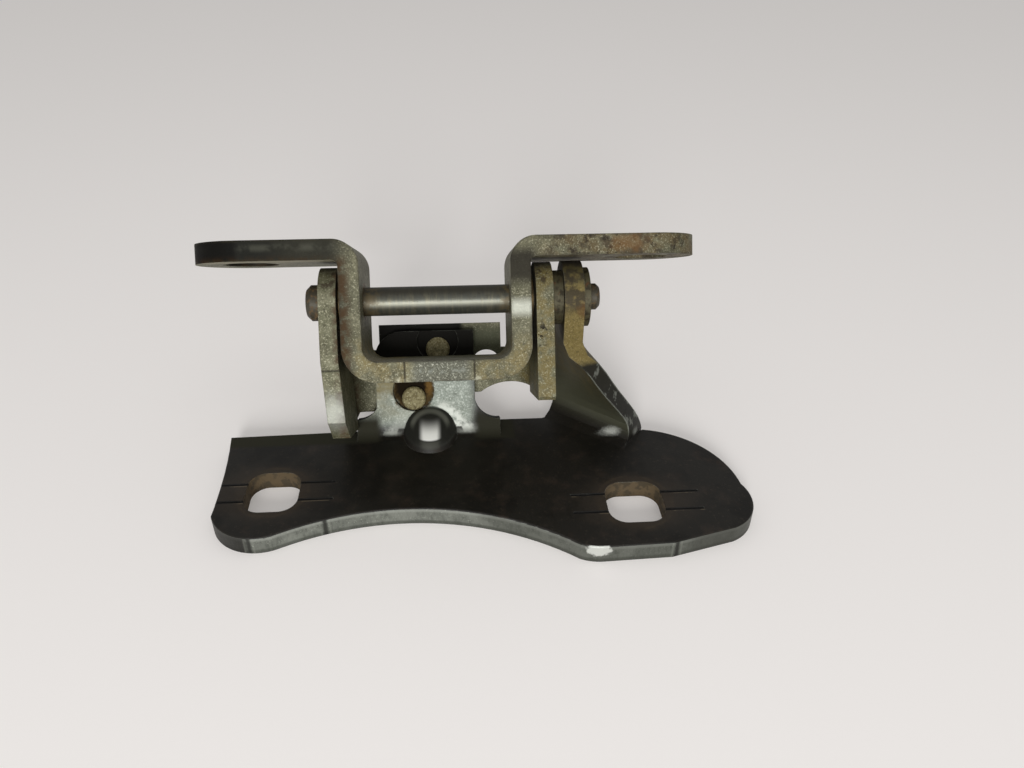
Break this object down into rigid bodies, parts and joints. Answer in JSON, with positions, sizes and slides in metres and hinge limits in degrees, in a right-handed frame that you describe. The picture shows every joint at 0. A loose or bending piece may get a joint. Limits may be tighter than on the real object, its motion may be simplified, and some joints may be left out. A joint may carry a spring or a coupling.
{
  "type": "car door hinge",
  "caption": "Pressed-steel car door hinge: a pillar bracket with a riveted clevis, and a hat-shaped door strap that swings on a headed pin.",
  "frame": {"origin": "on the mounting face, midway between the two fixing holes", "axes": "+X along the hinge pin from its head to its peened end, +Y from the plate's front edge to its fold, +Z out of the mounting face towards the pin"},
  "size_m": [0.1514, 0.0773, 0.0689],
  "materials": {
    "plate_steel": "dark semi-gloss coating over pressed steel",
    "clevis_steel": "olive grey plated steel with rust stains",
    "strap_steel": "olive grey plated steel with dust and rust stains",
    "bush_bronze": "dark oiled bronze",
    "pin_steel": "satin turned steel",
    "washer_steel": "dull zinc",
    "rivet_steel": "dull steel with rust"
  },
  "bodies": {
    "pillar_side": {"base_bracket": "plate_steel", "clevis_bracket": "clevis_steel", "hinge_pin": "pin_steel", "spacer_washer": "washer_steel", "end_washer": "washer_steel", "rivet_lower": "rivet_steel", "rivet_upper": "rivet_steel"},
    "door_side": {"door_strap": "strap_steel", "bush_left": "bush_bronze", "bush_right": "bush_bronze"}
  },
  "joints": [
    {"name": "strap_hinge", "type": "hinge", "parent": "pillar_side", "child": "door_side", "pos_m": [0, 0.03412, 0.0485], "axis": [1, 0, 0], "range_deg": [-60, 0]}
  ]
}
